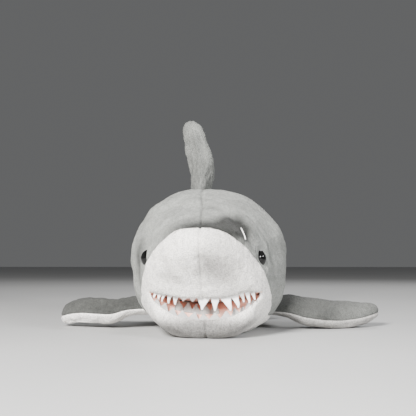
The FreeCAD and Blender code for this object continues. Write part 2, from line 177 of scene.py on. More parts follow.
def colour_side(x, behind, z):
    """Below zero where the fabric is white."""
    outline = np.interp(z, FACE_OUTLINE[:, 0], FACE_OUTLINE[:, 1])
    face = x - np.where(z > FACE_OUTLINE[-1, 0], -1.0, outline)
    flank = z - np.interp(behind, FLANK_SEAM[:, 0], FLANK_SEAM[:, 1])
    w = smoothstep(behind, *FACE_TO_FLANK)
    return (1 - w) * face + w * flank


def ring_lengths(x, z):
    """How far round each ring, from the top, each of its points lies."""
    steps = np.hypot(np.diff(x, axis=1), np.diff(z, axis=1))
    return np.concatenate([np.zeros((len(x), 1)), np.cumsum(steps, axis=1)], axis=1)


def seam_lengths(behind):
    """How far round each ring, from the top, the colour seam lies, and each ring's half length."""
    x, z = rings(behind)
    lengths = ring_lengths(x, z)
    side = colour_side(x, behind[:, None] + 0 * x, z)
    seam = np.zeros(len(behind))
    for i in range(len(behind)):
        white = np.nonzero(side[i] < 0)[0]
        k = white[0] if len(white) else RING_SAMPLES - 1
        if k == 0:
            continue
        share = side[i, k - 1] / (side[i, k - 1] - side[i, k])
        seam[i] = lengths[i, k - 1] + share * (lengths[i, k] - lengths[i, k - 1])
    return seam, lengths[:, -1]


def half_grid(behind, start, end, columns):
    """Points (rows, columns, 3) on the +X half between two lengths round each ring."""
    x, z = rings(behind)
    lengths = ring_lengths(x, z)
    grid = np.zeros((len(behind), columns, 3))
    share = np.linspace(0, 1, columns)
    for i in range(len(behind)):
        place = start[i] + (end[i] - start[i]) * share
        grid[i, :, 0] = np.interp(place, lengths[i], x[i])
        grid[i, :, 2] = np.interp(place, lengths[i], z[i])
    grid[:, :, 1] = SNOUT_Y + behind[:, None]
    return grid


def grid_normals(grid, side=1.0):
    """Unit normals of a grid of points, forwards where it narrows to a point."""
    down = np.gradient(grid, axis=1)
    back = np.gradient(grid, axis=0)
    normal = np.cross(down, back) * side
    size = np.linalg.norm(normal, axis=2, keepdims=True)
    flat = size[..., 0] < 1e-9
    normal = normal / np.maximum(size, 1e-9)
    normal[flat] = (0, -1, 0)
    return normal


def on_table(points):
    """The points with those that would sink into the table pressed flat on it."""
    points[..., 2] = FLOOR_GAP + np.logaddexp(0, (points[..., 2] - FLOOR_GAP) / FLOOR_SOFT) * FLOOR_SOFT
    return points


def lean(points):
    """The trunk's points moved askew: the head by its height, the back seam towards -X."""
    x, behind, z = points[..., 0], points[..., 1] - SNOUT_Y, points[..., 2]
    head = np.interp(z, LEAN[:, 0], LEAN[:, 1])
    wander = BACK_SEAM_WANDER * smoothstep(behind, 40.0, 100.0)
    wander += (DORSAL_WANDER - BACK_SEAM_WANDER) * smoothstep(behind, 125.0, 165.0)
    wander *= smoothstep(z, 75.0, 100.0) * np.exp(-((x / 26.0) ** 2))
    points[..., 0] = x + (head - wander) * (1 - smoothstep(behind, *LEAN_FADES))
    return points


def row_places(start, end, step):
    """Distances behind, closer together towards the snout's tip, where the form turns fastest."""
    low, high = math.sqrt(start), math.sqrt(end)
    count = int(round((high - low) / step)) + 1
    return np.linspace(low, high, count) ** 2


def skin_point(behind, z):
    """(point, outward normal) on the +X side of the body at a height, above its widest place."""
    near = np.array([behind - 1.0, behind, behind + 1.0])
    xs, zs = rings(near)
    half = RING_SAMPLES // 2 + 1

    def at(i, height):
        x = np.interp(-height, -zs[i, :half], xs[i, :half])
        return np.array([x, SNOUT_Y + near[i], height])

    back = at(2, z) - at(0, z)
    up = at(1, z + 1.0) - at(1, z - 1.0)
    normal = np.cross(back, up)
    return at(1, z), normal / np.linalg.norm(normal)


# ---------------------------------------------------------------- meshes
TUBE_UP = (0.3, 0.2, 0.93)  # no tube runs this way


def mesh_piece(name, points, faces, material):
    """A smooth-shaded mesh object from points in millimetres."""
    mesh = bpy.data.meshes.new(name)
    mesh.from_pydata((np.asarray(points) * MM).tolist(), [], [tuple(map(int, f)) for f in faces])
    mesh.validate()
    mesh.polygons.foreach_set("use_smooth", [True] * len(mesh.polygons))
    piece = bpy.data.objects.new(name, mesh)
    bpy.context.scene.collection.objects.link(piece)
    mesh.materials.append(material)
    return piece


def grid_faces(rows, columns, flip=False, offset=0):
    """Quads of a grid, as index rows."""
    k = np.arange(rows * columns).reshape(rows, columns) + offset
    quads = np.stack([k[:-1, :-1], k[1:, :-1], k[1:, 1:], k[:-1, 1:]], axis=-1).reshape(-1, 4)
    return quads[:, ::-1] if flip else quads


def store_painted_shade(piece, painted_shade):
    """Stores the painted shade at each point, the share of the plush's colour kept there, 1 where no shade is
    painted.
    """
    # painted shade, kept as a colour attribute that darkens the plush
    layer = piece.data.color_attributes.new("painted_shade", "FLOAT_COLOR", "POINT")
    level = np.asarray(painted_shade, float).reshape(-1, 1)
    layer.data.foreach_set("color", np.concatenate([level, level, level, 1 + 0 * level], axis=1).reshape(-1))


def grid_piece(name, grid, material, flip=False, keep=None, painted_shade=None):
    """A piece from a grid of points. keep marks the quads that stay; the last argument is the painted shade
    at each point.
    """
    rows, columns = grid.shape[:2]
    faces = grid_faces(rows, columns, flip)
    if keep is not None:
        faces = faces[keep.reshape(-1)]
    piece = mesh_piece(name, grid.reshape(-1, 3), faces, material)
    store_painted_shade(piece, np.ones(rows * columns) if painted_shade is None else painted_shade)
    return piece


def loop_faces(rows, count, flip=False):
    """Faces round rows of points that are closed loops, and one face over each end."""
    k = np.arange(rows * count).reshape(rows, count)
    n = np.roll(k, -1, axis=1)
    quads = np.stack([k[:-1], n[:-1], n[1:], k[1:]], axis=-1).reshape(-1, 4)
    if flip:
        quads = quads[:, [0, 3, 2, 1]]
    return [*quads, k[-1], k[0][::-1]]


def closed_loop(loop):
    """(points, faces) of a loop grid closed at both ends."""
    return loop.reshape(-1, 3), loop_faces(*loop.shape[:2], flip=True)


def circle(centre, radius, u, v, sides):
    """Points round a circle in the plane of u and v."""
    angles = np.linspace(0, FULL_TURN, sides, endpoint=False)
    return [centre + radius * (math.cos(a) * u + math.sin(a) * v) for a in angles]


def tube(path, radius, sides=8):
    """(points, faces) of a round tube along a path, closed at its ends."""
    way = np.gradient(path, axis=0)
    way /= np.linalg.norm(way, axis=1)[:, None]
    side = np.cross(way, TUBE_UP)
    side /= np.linalg.norm(side, axis=1)[:, None]
    points = []
    for place, u, v in zip(path, side, np.cross(way, side)):
        points += circle(place, radius, u, v, sides)
    return points, loop_faces(len(path), sides)


def turned(profile, centre, axis, sides=48):
    """(points, faces) of a form turned about an axis, from (radius, height) points, closed at both ends."""
    axis = axis / np.linalg.norm(axis)
    u = np.cross(axis, (0, 0, 1.0))
    u /= np.linalg.norm(u)
    v = np.cross(axis, u)
    points = []
    for radius, height in profile:
        points += circle(centre + axis * height, radius, u, v, sides)
    return points, loop_faces(len(profile), sides)


def solid_sheet(grid, thickness):
    """(points, faces) of a closed sheet of felt or cloth about a grid of points."""
    rows, columns = grid.shape[:2]
    normal = grid_normals(grid)
    front = (grid + normal * thickness / 2).reshape(-1, 3)
    back = (grid - normal * thickness / 2).reshape(-1, 3)
    count = rows * columns
    faces = [*grid_faces(rows, columns), *grid_faces(rows, columns, True, count)]
    k = np.arange(count).reshape(rows, columns)
    rim = [*k[0, :], *k[1:, -1], *k[-1, -2::-1], *k[-2:0:-1, 0]]
    for a, b in zip(rim, rim[1:] + rim[:1]):
        faces.append((a, b, b + count, a + count))
    return np.concatenate([front, back]), faces


def joined(parts):
    """One (points, faces) from several."""
    points, faces, offset = [], [], 0
    for some, some_faces in parts:
        points.append(np.asarray(some))
        faces += [tuple(i + offset for i in f) for f in some_faces]
        offset += len(some)
    return np.concatenate(points), faces


def frame_joint(name):
    """A joint's place in millimetres."""
    joint = next(j for j in frame["joints"] if j["name"] == name)
    return np.array(joint["pos_m"]) / MM


def on_trunk(piece, node):
    """A piece that moves with the trunk, for one CAD node."""
    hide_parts(node)
    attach(piece, "trunk")


def stuffed_piece(piece, nodes, slot, fill, bodies, start, end):
    """A padded piece that stands for these CAD nodes, which are hidden; its placement is baked into its mesh.
    slot, fill, bodies, start and end are not used.
    """
    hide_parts(*nodes)
    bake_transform(piece)


# ---------------------------------------------------------------- materials
def new_material(name, roughness, **sockets):
    """(material, node tree, principled shader) with uniform values set on the shader itself."""
    material = bpy.data.materials.new(name)
    material.use_nodes = True
    tree = material.node_tree
    shader = tree.nodes["Principled BSDF"]
    shader.inputs["Roughness"].default_value = roughness
    for key, value in sockets.items():
        shader.inputs[key.replace("_", " ")].default_value = value
    return material, tree, shader


def noise_node(tree, scale, detail=2.0, stretch=(1, 1, 1), rough=0.5):
    """A noise texture in the object's own space; scale is in lumps per metre."""
    place = tree.nodes.new("ShaderNodeTexCoord")
    mapping = tree.nodes.new("ShaderNodeMapping")
    mapping.inputs["Scale"].default_value = stretch
    noise = tree.nodes.new("ShaderNodeTexNoise")
    noise.inputs["Scale"].default_value = scale
    noise.inputs["Detail"].default_value = detail
    noise.inputs["Roughness"].default_value = rough
    tree.links.new(place.outputs["Object"], mapping.inputs["Vector"])
    tree.links.new(mapping.outputs["Vector"], noise.inputs["Vector"])
    return noise.outputs["Fac"]


def ramp_node(tree, factor, low, high, low_at=0.3, high_at=0.7):
    """The colour low up to low_at of the factor, high from high_at on, and a blend between."""
    ramp = tree.nodes.new("ShaderNodeValToRGB")
    ramp.color_ramp.elements[0].position = low_at
    ramp.color_ramp.elements[1].position = high_at
    ramp.color_ramp.elements[0].color = (*low, 1)
    ramp.color_ramp.elements[1].color = (*high, 1)
    tree.links.new(factor, ramp.inputs["Fac"])
    return ramp.outputs["Color"]


def blend_node(tree, kind, factor, first, second):
    mix = tree.nodes.new("ShaderNodeMix")
    mix.data_type = "RGBA"
    mix.blend_type = kind
    mix.inputs["Factor"].default_value = factor
    tree.links.new(first, mix.inputs[6])
    tree.links.new(second, mix.inputs[7])
    return mix.outputs[2]


def bump_node(tree, height, strength, distance, before=None):
    bump = tree.nodes.new("ShaderNodeBump")
    bump.inputs["Strength"].default_value = strength
    bump.inputs["Distance"].default_value = distance
    tree.links.new(height, bump.inputs["Height"])
    if before is not None:
        tree.links.new(before, bump.inputs["Normal"])
    return bump.outputs["Normal"]


def grey(level):
    return (level, level, level)


def plush(name, light, dark, sheen):
    """Short plush fur: soft patches where its lie turns, fine clumps of fibre, a velvety sheen, and the
    painted shade stored on the mesh multiplied into the colour.
    """
    material, tree, shader = new_material(
        name, 0.92, Sheen_Weight=sheen, Sheen_Roughness=0.45, Specular_IOR_Level=0.15
    )
    patches = ramp_node(tree, noise_node(tree, 38, 3, (1, 0.7, 1)), dark, light, 0.34, 0.6)
    streaks = ramp_node(tree, noise_node(tree, 420, 3, (1, 0.35, 0.7), 0.6), grey(0.6), grey(1), 0.34, 0.58)
    clumps = ramp_node(tree, noise_node(tree, 1100, 3, rough=0.6), grey(0.4), grey(1), 0.38, 0.58)
    # The painted shade stored on the mesh darkens the colour where shade falls.
    painted_shade = tree.nodes.new("ShaderNodeAttribute")
    painted_shade.attribute_name = "painted_shade"
    colour = blend_node(tree, "MULTIPLY", 1.0, patches, painted_shade.outputs["Color"])
    colour = blend_node(tree, "MULTIPLY", 0.5, colour, streaks)
    colour = blend_node(tree, "MULTIPLY", 0.6, colour, clumps)
    tree.links.new(colour, shader.inputs["Base Color"])
    coarse = bump_node(tree, noise_node(tree, 420, 3, (1, 0.35, 0.7), 0.6), 0.35, 0.0009)
    fine = bump_node(tree, noise_node(tree, 1100, 3, rough=0.6), 0.9, 0.0010, coarse)
    tree.links.new(fine, shader.inputs["Normal"])
    return material


def felt(name, light, dark):
    """Pressed fibre: a matted surface with short hairs every way."""
    material, tree, shader = new_material(name, 0.95, Sheen_Weight=0.25, Specular_IOR_Level=0.1)
    cloud = ramp_node(tree, noise_node(tree, 260, 4, rough=0.65), dark, light, 0.3, 0.6)
    hairs = ramp_node(tree, noise_node(tree, 2600, 3), grey(0.8), grey(1), 0.35, 0.6)
    tree.links.new(blend_node(tree, "MULTIPLY", 0.7, cloud, hairs), shader.inputs["Base Color"])
    normal = bump_node(tree, noise_node(tree, 2200, 3), 0.5, 0.0003)
    tree.links.new(normal, shader.inputs["Normal"])
    return material


def eye_gloss():
    """Black moulded plastic with faint smears that vary its gloss."""
    material, tree, shader = new_material(
        "eye_plastic", 0.08, Coat_Weight=0.15, Coat_Roughness=0.03, Specular_IOR_Level=0.3
    )
    depth = ramp_node(tree, noise_node(tree, 160, 2), grey(0.0015), grey(0.006))
    smears = ramp_node(tree, noise_node(tree, 420, 4, (1, 1, 0.3)), grey(0.05), grey(0.16), 0.4, 0.75)
    tree.links.new(depth, shader.inputs["Base Color"])
    tree.links.new(smears, shader.inputs["Roughness"])
    return material


def moulded_plastic(name, light, dark):
    material, tree, shader = new_material(name, 0.45)
    tree.links.new(ramp_node(tree, noise_node(tree, 300, 3), dark, light), shader.inputs["Base Color"])
    normal = bump_node(tree, noise_node(tree, 1800, 1), 0.2, 0.0001)
    tree.links.new(normal, shader.inputs["Normal"])
    return material


def fibre(name, light, dark):
    """Loose filling: long tangled strands."""
    material, tree, shader = new_material(name, 1.0, Sheen_Weight=0.4)
    strands = noise_node(tree, 240, 6, (1, 0.25, 1), 0.7)
    tree.links.new(ramp_node(tree, strands, dark, light, 0.35, 0.6), shader.inputs["Base Color"])
    tree.links.new(bump_node(tree, strands, 0.8, 0.002), shader.inputs["Normal"])
    return material


def table_top():
    material, tree, shader = new_material("floor_paint", 0.6)
    tone = ramp_node(tree, noise_node(tree, 3, 3), (0.40, 0.40, 0.40), (0.44, 0.44, 0.435))
    tree.links.new(tone, shader.inputs["Base Color"])
    return material


GREY_PLUSH = plush("grey_plush", (0.345, 0.354, 0.332), (0.25, 0.257, 0.242), 0.05)
WHITE_PLUSH = plush("white_plush", (0.98, 0.952, 0.91), (0.90, 0.87, 0.825), 0.10)
LINING = felt("pink_lining", (0.98, 0.62, 0.50), (0.84, 0.45, 0.35))
WHITE_FELT = felt("white_felt", (0.97, 0.965, 0.95), (0.88, 0.87, 0.855))
# The same white felt painted darker for the lower teeth: painted shade behind the upper lip.
SHADED_WHITE_FELT = felt("white_felt_painted_shade", (0.40, 0.397, 0.388), (0.33, 0.327, 0.32))
EYE_BLACK = eye_gloss()
WASHER = moulded_plastic("washer_plastic", (0.82, 0.82, 0.79), (0.72, 0.72, 0.69))
FIBRE = fibre("fibre_filling", (0.93, 0.93, 0.92), (0.68, 0.68, 0.67))


# ---------------------------------------------------------------- the body's relief
# Soft dents: side-signed x, behind, z, radius, depth.
DENTS = np.array([
    (63, 125, 24, 25, 4),
    (-63, 125, 24, 24, 2.6),
    (20, 42, 87, 7, 2),
    (26, 34, 80, 7.5, 2.8),
    (32, 31, 72, 7, 2.6),
    (8, 34, 86, 7, 1),
    (47.5, 64, 60, 6, 2.4),
    (47, 66, 52, 6, 1.8),
    (-44, 52, 66, 7, 1.6),
    (-48, 62, 50, 9, 2.2),
    (-47.5, 64, 41, 8, 1.6),
    (-9, 1, 60, 8, 0.7),
    (6, 6, 50, 9, 0.9),
    (12, 14, 38, 8, 0.9),
    (-22, 16, 38, 9, 0.9),
    (-20, 66, 97, 16, 1.4),
    (34, 110, 98, 20, 1.2),
])
EYE_POINT, EYE_OUT = skin_point(EYE_BEHIND, EYE_Z)
# Painted shade where shade falls in dents, folds and on turned-away sides: x, behind, z, radius, how much
# darker.
PAINTED_SHADE_SPOTS = np.array([
    (21, 22, 78, 9, 0.70),
    (30, 27, 74, 8, 0.80),
    (24, 32, 82, 8, 0.40),
    (18, 31, 82, 8, 0.40),
    (26, 42, 86, 8, 0.62),
    (33, 36, 78, 7.5, 0.60),
    (7, 46, 91, 8, 0.40),
    (49, 62, 57, 7, 0.25),
    (-49, 60, 45, 9, 0.62),
    (-51, 64, 60, 12, 0.60),
    (5, 6, 50, 13, 0.48),
    (14, 10, 64, 15, 0.26),
    (-20, 16, 40, 11, 0.28),
    (18, 16, 40, 13, 0.40),
])
CHIN_SHADE = 0.8
SEAM_SHADE = 1.0
DARKEST_PAINTED_SHADE = 0.09
SEAM_SUNK = 1.3  # depth and half width of the colour seam's groove
PUCKER_STEP = 7.0  # from one pucker along the middle seam to the next
PUCKER_REACH = 4.0


def painted_shade_of(points, gap, white):
    """Painted shade over the body where shade falls: at the dents, folds and turned-away sides, in the middle
    seam's groove, along the colour seam on the snout and under the chin.
    """
    painted_shade = np.ones(points.shape[:-1])
    for x, back, z, radius, amount in PAINTED_SHADE_SPOTS:
        centre = np.array([x, SNOUT_Y + back, z])
        painted_shade -= amount * np.exp(-((np.linalg.norm(points - centre, axis=-1) / radius) ** 2))
    # Painted shade in the groove of the middle seam.
    painted_shade -= (0.05 if white else 0.3) * np.exp(-((points[..., 0] / 0.7) ** 2))
    if white:
        # Painted shade under the chin, near the snout.
        front = smoothstep(SNOUT_Y - points[..., 1], -60.0, -30.0)
        painted_shade -= CHIN_SHADE * front * smoothstep(-points[..., 2], -20.0, -9.0)
    else:
        # Painted shade in a band along the colour seam on top of the snout.
        near = np.exp(-(((points[..., 0] - 2.0) / 26.0) ** 2)) * np.exp(-((gap / 17.0) ** 2))
        painted_shade -= SEAM_SHADE * near * smoothstep(points[..., 2], 60.0, 72.0)
    return np.clip(painted_shade, DARKEST_PAINTED_SHADE, 1)


def upper_lip(x):
    """Height of the upper lip, which rides up a little near its +X corner."""
    share = 1 - (np.abs(x) / MOUTH_HALF) ** 2
    return MOUTH_CORNER_Z - UPPER_LIP_DROP * share + 2.2 * np.exp(-(((x - 29.5) / 7.0) ** 2))


def lower_lip(x):
    """Height of the lower lip."""
    share = np.clip(1 - (np.abs(x) / MOUTH_HALF) ** LOWER_LIP_POWER, 0, 1)
    return MOUTH_CORNER_Z - LOWER_LIP_DROP * share ** (1 / LOWER_LIP_POWER)


def lip_outline(count):
    """The mouth's closed outline (x, z): along the upper lip from -X to +X, then back along the lower."""
    x = -MOUTH_HALF * np.cos(np.linspace(0, math.pi, count))
    upper = np.stack([x, np.maximum(upper_lip(x), lower_lip(x))], axis=1)
    lower = np.stack([x, lower_lip(x)], axis=1)[::-1]
    return np.concatenate([upper, lower[1:-1]])


LIPS = lip_outline(181)


def inside_mouth(x, z):
    """Whether points seen from the front are between the lips."""
    return (np.abs(x) < MOUTH_HALF) & (z < upper_lip(x)) & (z > lower_lip(x))


NEAREST_BLOCK = 4000


def nearest(points, targets):
    """(distance, index) of the nearest target to each point, in blocks to spare memory."""
    distance = np.zeros(len(points))
    index = np.zeros(len(points), int)
    for start in range(0, len(points), NEAREST_BLOCK):
        block = slice(start, start + NEAREST_BLOCK)
        gap = np.linalg.norm(points[block, None, :] - targets[None, :, :], axis=2)
        index[block] = gap.argmin(axis=1)
        distance[block] = gap.min(axis=1)
    return distance, index


def colour_seam_line(side):
    """Points along the colour seam on one side of the body."""
    behind = row_places(SEAM_START, BODY_END, 0.03)
    seam, _ = seam_lengths(behind)
    line = half_grid(behind, seam, seam, 1)[:, 0, :]
    line[:, 0] *= side
    return line


def find_seam_start():
    """How far behind the tip the colour seam crosses the middle line on top of the snout."""
    behind = np.linspace(0.5, 20, 400)
    seam, _ = seam_lengths(behind)
    return float(behind[np.argmax(seam > 0)])


SEAM_START = find_seam_start()


def relief(points, normals, side, white):
    """Moves points on one side of the body for stuffing, dents, seams, the eye's socket and the floor."""
    flat = points.reshape(-1, 3)
    height = 0.55 * waves(flat, 16, 3) + 0.35 * waves(flat, 6, 4) + 0.10 * waves(flat, 2.2, 5)
    behind = flat[:, 1] - SNOUT_Y

    for x, back, z, radius, depth in DENTS:
        centre = np.array([x, SNOUT_Y + back, z])
        height -= depth * np.exp(-(np.linalg.norm(flat - centre, axis=1) / radius) ** 2)

    middle = np.abs(flat[:, 0])
    pucker = 0.5 + 0.5 * np.sin(behind * (FULL_TURN / PUCKER_STEP) + 2 * waves(flat, 20, 6))
    height -= 1.0 * np.exp(-((middle / 1.1) ** 2)) + 0.35 * pucker * np.exp(-middle / PUCKER_REACH)

    line = colour_seam_line(side)
    gap, index = nearest(flat, line)
    pucker = 0.5 + 0.5 * np.sin(index * 0.35 + 2 * waves(flat, 14, 7))
    groove = SEAM_SUNK * np.exp(-((gap / SEAM_SUNK) ** 2))
    if white:
        height -= groove + 0.2 * pucker * np.exp(-gap / PUCKER_REACH)
    else:
        height -= groove + (0.9 + 0.5 * pucker) * np.exp(-((gap / 5.5) ** 2))

    eye = EYE_POINT * (side, 1, 1)
    reach = np.linalg.norm(flat - eye, axis=1)
    height -= EYE_SUNK * np.exp(-((reach / 7.5) ** 4)) + 1.0 * np.exp(-((reach / 11.0) ** 2))

    moved = flat + normals.reshape(-1, 3) * height[:, None]
    return on_table(moved).reshape(points.shape), painted_shade_of(flat, gap, white)


MOST_SNAP = 2.0  # how far along Y a point may move to reach the lips
FAR = 99.0


def cut_mouth(grid):
    """Snaps the grid to the lips' outline. Returns (grid, quads that stay, distance to the lips)."""
    rows, columns = grid.shape[:2]
    front = grid[..., 1] < SNOUT_Y + MOUTH_BEHIND
    near = front & (np.abs(grid[..., 0]) < MOUTH_HALF + 12) & (grid[..., 2] < 50)
    hole = near & inside_mouth(grid[..., 0], grid[..., 2])
    corners = hole[:-1, :-1] & hole[1:, :-1] & hole[1:, 1:] & hole[:-1, 1:]
    keep = ~corners
    used = np.zeros((rows, columns), bool)
    for di in (0, 1):
        for dj in (0, 1):
            used[di:rows - 1 + di, dj:columns - 1 + dj] |= keep
    snap = hole & used
    to_down = np.gradient(grid, axis=1)
    to_back = np.gradient(grid, axis=0)
    where = np.argwhere(snap)
    flat = grid[snap][:, (0, 2)]
    target = LIPS[nearest(flat, LIPS)[1]]
    for (i, j), goal, old in zip(where, target, flat):
        a, b = to_down[i, j], to_back[i, j]
        matrix = np.array([[a[0], b[0]], [a[2], b[2]]])
        step = np.linalg.lstsq(matrix, goal - old, rcond=None)[0]
        grid[i, j, 1] += np.clip(a[1] * step[0] + b[1] * step[1], -MOST_SNAP, MOST_SNAP)
        grid[i, j, 0], grid[i, j, 2] = goal
    distance = np.full((rows, columns), FAR)
    distance[near] = nearest(grid[near][:, (0, 2)], LIPS)[0]
    distance[snap] = 0.0
    return grid, keep, distance


LIP_EDGE = []  # x and z on the lips' outline, and where the finished skin's edge is


def panel(name, side, white, material):
    """One of the four panels of the body, with its seams, its lips and its relief."""
    behind = row_places(1e-6 if white else SEAM_START, BODY_END, 0.055)
    seam, whole = seam_lengths(behind)
    columns = 150 if white else 110
    start, end = (seam, whole) if white else (np.zeros(len(behind)), seam)
    grid = half_grid(behind, start, end, columns)
    grid[..., 0] *= side
    keep = None
    if white:
        grid, keep, lips = cut_mouth(grid)
        flat_places = grid[..., (0, 2)].copy()
    normals = grid_normals(grid, side)
    if white:
        normals[:4] = (0, -1, 0)
    grid, painted_shade = relief(grid, normals, side, white)
    if white:
        corner = smoothstep(np.abs(flat_places[..., 0]), MOUTH_HALF - 14.0, MOUTH_HALF)
        roll = np.clip(LIP_ROLL - lips, 0, LIP_ROLL)
        depth = (LIP_ROLL - np.sqrt(LIP_ROLL**2 - roll**2)) * (1 - 0.4 * corner)
        below = smoothstep(-flat_places[..., 1], -24.0, -18.0)
        puff = (0.8 + 1.0 * below) * np.exp(-(((lips - 6.0) / 3.8) ** 2)) * (1 - corner)
        grid += normals * (puff - depth)[..., None]
    grid = lean(grid)
    if white:
        edge = lips == 0
        LIP_EDGE.append(np.concatenate([flat_places[edge], grid[edge]], axis=1))
    return grid_piece(name, grid, material, flip=side < 0, keep=keep, painted_shade=painted_shade)


def body_bend():
    """The trunk and the tail, and places each side of the tail's joint, handed to the body's skins and
    filling.
    """
    place = frame_joint("tail_sway")
    return ("trunk", "tail"), place - (0, BEND_HALF, 0), place + (0, BEND_HALF, 0)


def body_panels():
    """The two grey and two white panels."""
    for name, side in (("left", 1.0), ("right", -1.0)):
        for colour, white, material in (("back", False, GREY_PLUSH), ("belly", True, WHITE_PLUSH)):
            piece = panel(f"{colour}_skin_{name}", side, white, material)
            nodes = (f"{colour}_panel_{name}", f"tail_{colour}_panel_{name}")
            stuffed_piece(piece, nodes, "white_plush" if white else "grey_plush", FULL_BODY, *body_bend())


# ---------------------------------------------------------------- the mouth
def lip_point(x, upper):
    """Where the finished skin's edge is on the upper or lower lip, in millimetres."""
    z = upper_lip(x) if upper else lower_lip(x)
    edge = np.concatenate(LIP_EDGE)
    gap = np.hypot(edge[:, 0] - x, edge[:, 1] - z)
    close = np.argsort(gap)[:5]
    weight = 1 / (gap[close] + 0.3)
    return (edge[close, 2:] * weight[:, None]).sum(axis=0) / weight.sum()


POCKET_BACK_Z = 24.0
POCKET_NARROWS = 0.10
ROOF_TUCK = 0.9
FLOOR_TUCK = 2.2
LINING_WIDER = 1.04
LINING_THICK = 0.8
FELT = 1.0
HIDDEN_ROOT = 1.6  # how far a lower strip goes down behind the lip
SEWN_BEHIND = 0.9  # from the lip's edge back to the felt


def lining(name, upper):
    """The roof or the floor of the mouth's pocket, sewn on behind the lip and closed at the back."""
    columns, rows = 90, 30
    x = -MOUTH_HALF * np.cos(np.linspace(0, math.pi, columns))
    edge = np.array([lip_point(v, upper) for v in x])
    edge[:, 0] *= LINING_WIDER
    edge[:, 1] += 1.0 if upper else 1.6
    inside = 1 - (np.abs(x) / MOUTH_HALF) ** 8
    edge[:, 2] += inside * (ROOF_TUCK if upper else -FLOOR_TUCK)
    t = np.linspace(0, 1, rows)[:, None]
    grid = np.zeros((rows, columns, 3))
    deep = POCKET_BACK_Y - 5.0 * (x / MOUTH_HALF) ** 2
    grid[..., 0] = edge[:, 0] * (1 - POCKET_NARROWS * t)
    grid[..., 1] = edge[:, 1] + np.maximum(deep - edge[:, 1], 3.0) * t
    back_z = POCKET_BACK_Z + 6.0 * (x / MOUTH_HALF) ** 2 + inside * (0.6 if upper else -0.6)
    grid[..., 2] = edge[:, 2] + (back_z - edge[:, 2]) * t ** (1.6 if upper else 0.7)
    wrinkle = 0.5 * waves(grid.reshape(-1, 3), 6, 21 + upper).reshape(rows, columns)
    grid[..., 2] += wrinkle * np.sin(math.pi * t) ** 0.5
    piece = mesh_piece(name, *solid_sheet(grid, LINING_THICK), LINING)
    on_trunk(piece, "mouth_lining_upper" if upper else "mouth_lining_lower")


def tooth(base_left, base_right, tip, band, seed):
    """A felt triangle on a short band, with cut edges that wander a little."""
    rows, columns = 12, 9
    rng = np.random.default_rng(seed)
    curl = rng.uniform(-0.8, 0.8)
    share = np.linspace(0, 1, rows)[:, None]
    across = np.linspace(0, 1, columns)[None, :]
    taper = np.clip((1 - share) / (1 - band), 0.07, 1)
    middle = (base_left + base_right) / 2
    line = (base_right - base_left) * 1.05
    way = tip - middle
    skew = way * (1, 0, 0) * (smoothstep(share, band, 1.0) - share)[..., None]
    centre = middle + way * share[..., None] + skew
    grid = centre + line * ((across - 0.5) * taper)[..., None]
    free = smoothstep(share, band * 0.8, 1.0)
    grid += (0, 1, 0) * (curl * free + 0.4 * free * (2 * across - 1) ** 2)[..., None]
    grid += 0.15 * (free * waves(grid.reshape(-1, 3), 1.6, seed + 1).reshape(rows, columns))[..., None]
    return solid_sheet(grid, FELT)


# Upper teeth as sewn in: left and right end of the root, x of the tip, height of the tip, lean inwards.
UPPER_TEETH = [
    (-36.5, -33.8, -35, 28.6, 1),
    (-34, -30.2, -31.6, 27.6, 1.5),
    (-30.4, -27.6, -29.4, 26, 2.5),
    (-26.3, -22.6, -24.8, 24.7, 2.5),
    (-22, -17.6, -19.8, 24.2, 3),
    (-17, -10.9, -14.6, 26.6, 8),
    (-10.6, -4.4, -8, 26.4, 8),
    (-4.3, 4.6, -1.4, 20.8, 1),
    (4.9, 11.5, 7.3, 19.8, 1.2),
    (11.8, 19.8, 18, 20.1, 0.6),
    (19.6, 25.3, 23.6, 22.2, 1),
    (25.2, 29, 27.4, 26, 2.5),
    (29.1, 32.8, 31.2, 25.2, 1.5),
    (33, 36.3, 34.9, 27.2, 1),
]


def upper_teeth():
    """The teeth that hang behind the upper lip."""
    parts = []
    for k, (left, right, tip_x, tip_z, inward) in enumerate(UPPER_TEETH):
        a, b = lip_point(left, True), lip_point(right, True)
        for end in (a, b):
            end += (0, SEWN_BEHIND, 1.2)
        middle = (a + b) / 2
        askew = np.interp(tip_z, LEAN[:, 0], LEAN[:, 1])
        tip = np.array([tip_x + askew, middle[1] + inward, tip_z])
        parts.append(tooth(a, b, tip, 0.12, 100 + 3 * k))
    return parts


# The lower strips: where the gaps between teeth are, and how high above the lip the gaps' floors are.
LOWER_GAPS = [-36.5, -31.8, -25.9, -19.6, -11.9, -4.4, 3, 10.8, 18.5, 24.5, 29, 33.5, 36.5]
LOWER_BAND = 0.0
LOWER_TALL = 4.2
INNER_GAPS = [-22, -15.9, -9.9, -4, 3.5, 9.5]
INNER_BAND = 0.8
INNER_TALL = 4.6
INNER_SETBACK = 7.0
INNER_RISE = 4.6
FULL_GAP = 6.0  # narrower teeth are lower in proportion


def lower_teeth(gaps, setback, rise, band, tall, seed):
    """A strip of teeth that stands up behind the lower lip, with gaps between its teeth at these places."""
    parts = []
    for k, (left, right) in enumerate(zip(gaps, gaps[1:])):
        a, b = lip_point(left, False), lip_point(right, False)
        for end in (a, b):
            end += (0, SEWN_BEHIND + setback, rise - HIDDEN_ROOT)
        height = band + tall * min(1.0, (right - left) / FULL_GAP) + HIDDEN_ROOT
        tip = (a + b) / 2 + (0.5 * math.sin(seed + 2.4 * k), 0.25 * height, height)
        parts.append(tooth(a, b, tip, (band + HIDDEN_ROOT) / height, seed + 3 * k))
    return parts


def teeth_piece(name, node, parts, material):
    on_trunk(mesh_piece(name, *joined(parts), material), node)


